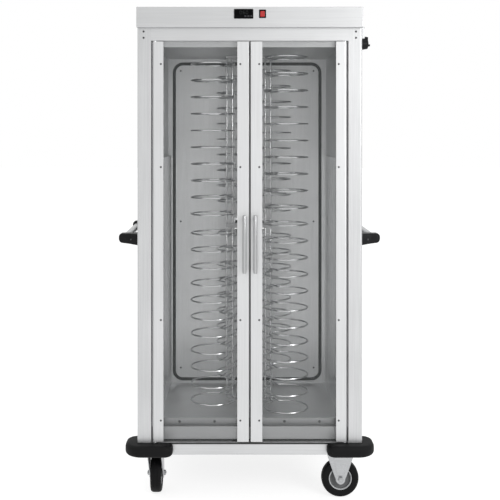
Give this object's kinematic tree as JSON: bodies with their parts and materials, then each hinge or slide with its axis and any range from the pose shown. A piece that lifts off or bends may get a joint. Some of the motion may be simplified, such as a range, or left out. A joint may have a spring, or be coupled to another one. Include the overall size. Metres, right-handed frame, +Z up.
{
  "type": "heated plate dispenser cart",
  "caption": "Closed stainless steel plate trolley on casters, with two glazed doors, stacks of wire plate rings, a control panel, push handles and corner bumpers.",
  "frame": {"origin": "middle of the footprint, on the floor under the wheels", "axes": "+Z up; the doors and the control panel face -Y; +X is to the right as seen from the front"},
  "size_m": [0.89, 0.702, 1.661],
  "materials": {
    "satin_steel": "brushed stainless sheet",
    "liner_steel": "satin stainless liner, softly reflective",
    "satin_aluminium": "satin anodised profile",
    "polished_wire": "polished round stainless wire",
    "polished_bar": "polished tube",
    "zinc_steel": "bright zinc-plated pressed steel",
    "clear_pane": "clear",
    "black_rubber": "matt black rubber",
    "black_plastic": "fine-grained black plastic",
    "grey_rim": "grey moulded rim",
    "tyre_rubber": "matt black tyre",
    "display_face": "gloss black",
    "red_rocker": "translucent red",
    "dark_motor": "matt dark paint",
    "heater_sheath": "heat-tinted steel"
  },
  "bodies": {
    "cabinet": {"back_panel": "satin_steel", "base_rails": "satin_steel", "bottom_pan": "black_rubber", "bumpers": "black_rubber", "caster_plates": "zinc_steel", "ceiling_panel": "liner_steel", "corner_posts": "satin_steel", "door_catches": "black_plastic", "duct_covers": "liner_steel", "fan_guard": "polished_wire", "fan_motor": "dark_motor", "fixed_axles": "zinc_steel", "fixed_forks": "zinc_steel", "floor_tray": "liner_steel", "frame_screws": "zinc_steel", "front_rails": "satin_steel", "handle_brackets": "black_plastic", "heating_element": "heater_sheath", "hinge_pins": "zinc_steel", "inlet_case": "black_plastic", "liner_walls": "liner_steel", "lower_left_rings": "polished_wire", "lower_right_rings": "polished_wire", "push_bars": "polished_bar", "rack_column": "liner_steel", "rack_rods": "polished_wire", "rear_gasket": "black_rubber", "rear_panel": "liner_steel", "side_panels": "satin_steel", "switch_case": "black_plastic", "thermostat_case": "display_face", "top_cover": "satin_steel", "upper_left_rings": "polished_wire", "upper_right_rings": "polished_wire"},
    "left_door": {"left_door_stiles": "satin_aluminium", "left_door_glass": "clear_pane", "left_door_handle": "polished_bar"},
    "right_door": {"right_door_stiles": "satin_aluminium", "right_door_glass": "clear_pane", "right_door_handle": "polished_bar"},
    "fan": {"fan_wheel": "black_plastic"},
    "left_front_swivel": {"left_front_fork": "zinc_steel", "left_front_axle": "zinc_steel"},
    "left_rear_swivel": {"left_rear_fork": "zinc_steel", "left_rear_axle": "zinc_steel"},
    "left_front_brake": {"left_front_brake": "black_plastic"},
    "left_rear_brake": {"left_rear_brake": "black_plastic"},
    "rocker": {"rocker": "red_rocker"},
    "down_key": {"down_key": "black_plastic"},
    "set_key": {"set_key": "black_plastic"},
    "up_key": {"up_key": "black_plastic"},
    "inlet_cap": {"inlet_cap": "black_plastic"},
    "left_front_wheel": {"left_front_tyre": "tyre_rubber", "left_front_wheel": "grey_rim"},
    "left_rear_wheel": {"left_rear_tyre": "tyre_rubber", "left_rear_wheel": "grey_rim"},
    "right_front_wheel": {"right_front_tyre": "tyre_rubber", "right_front_wheel": "grey_rim"},
    "right_rear_wheel": {"right_rear_tyre": "tyre_rubber", "right_rear_wheel": "grey_rim"}
  },
  "joints": [
    {"name": "left_door_hinge", "type": "hinge", "parent": "cabinet", "child": "left_door", "pos_m": [-0.317, -0.301, 0.212], "axis": [0, 0, 1], "range_deg": [-105, 0]},
    {"name": "right_door_hinge", "type": "hinge", "parent": "cabinet", "child": "right_door", "pos_m": [0.317, -0.301, 0.212], "axis": [0, 0, 1], "range_deg": [0, 105]},
    {"name": "fan_spin", "type": "hinge", "parent": "cabinet", "child": "fan", "pos_m": [0.009, 0.22, 0.88], "axis": [0, 1, 0], "continuous": true},
    {"name": "left_front_swivel", "type": "hinge", "parent": "cabinet", "child": "left_front_swivel", "pos_m": [-0.32, -0.225, 0.15], "axis": [0, 0, 1], "continuous": true},
    {"name": "left_front_roll", "type": "hinge", "parent": "left_front_swivel", "child": "left_front_wheel", "pos_m": [-0.32, -0.185, 0.0635], "axis": [1, 0, 0], "continuous": true},
    {"name": "left_front_brake", "type": "hinge", "parent": "left_front_swivel", "child": "left_front_brake", "pos_m": [-0.32, -0.185, 0.137], "axis": [1, 0, 0], "range_deg": [-6, 0]},
    {"name": "left_rear_swivel", "type": "hinge", "parent": "cabinet", "child": "left_rear_swivel", "pos_m": [-0.32, 0.225, 0.15], "axis": [0, 0, 1], "continuous": true},
    {"name": "left_rear_roll", "type": "hinge", "parent": "left_rear_swivel", "child": "left_rear_wheel", "pos_m": [-0.32, 0.265, 0.0635], "axis": [1, 0, 0], "continuous": true},
    {"name": "left_rear_brake", "type": "hinge", "parent": "left_rear_swivel", "child": "left_rear_brake", "pos_m": [-0.32, 0.265, 0.137], "axis": [1, 0, 0], "range_deg": [-6, 0]},
    {"name": "right_front_roll", "type": "hinge", "parent": "cabinet", "child": "right_front_wheel", "pos_m": [0.31, -0.225, 0.0635], "axis": [0, 1, 0], "continuous": true},
    {"name": "right_rear_roll", "type": "hinge", "parent": "cabinet", "child": "right_rear_wheel", "pos_m": [0.31, 0.225, 0.0635], "axis": [0, 1, 0], "continuous": true},
    {"name": "rocker_tilt", "type": "hinge", "parent": "cabinet", "child": "rocker", "pos_m": [0.042, -0.324, 1.637], "axis": [1, 0, 0], "range_deg": [-16, 0]},
    {"name": "down_key_press", "type": "slide", "parent": "cabinet", "child": "down_key", "axis": [0, 1, 0], "range_m": [0, 0.0008], "stiffness_N_per_m": 300},
    {"name": "set_key_press", "type": "slide", "parent": "cabinet", "child": "set_key", "axis": [0, 1, 0], "range_m": [0, 0.0008], "stiffness_N_per_m": 300},
    {"name": "up_key_press", "type": "slide", "parent": "cabinet", "child": "up_key", "axis": [0, 1, 0], "range_m": [0, 0.0008], "stiffness_N_per_m": 300},
    {"name": "inlet_cap_hinge", "type": "hinge", "parent": "cabinet", "child": "inlet_cap", "pos_m": [0.409, -0.16, 1.575], "axis": [0, 1, 0], "range_deg": [-100, 0]}
  ]
}
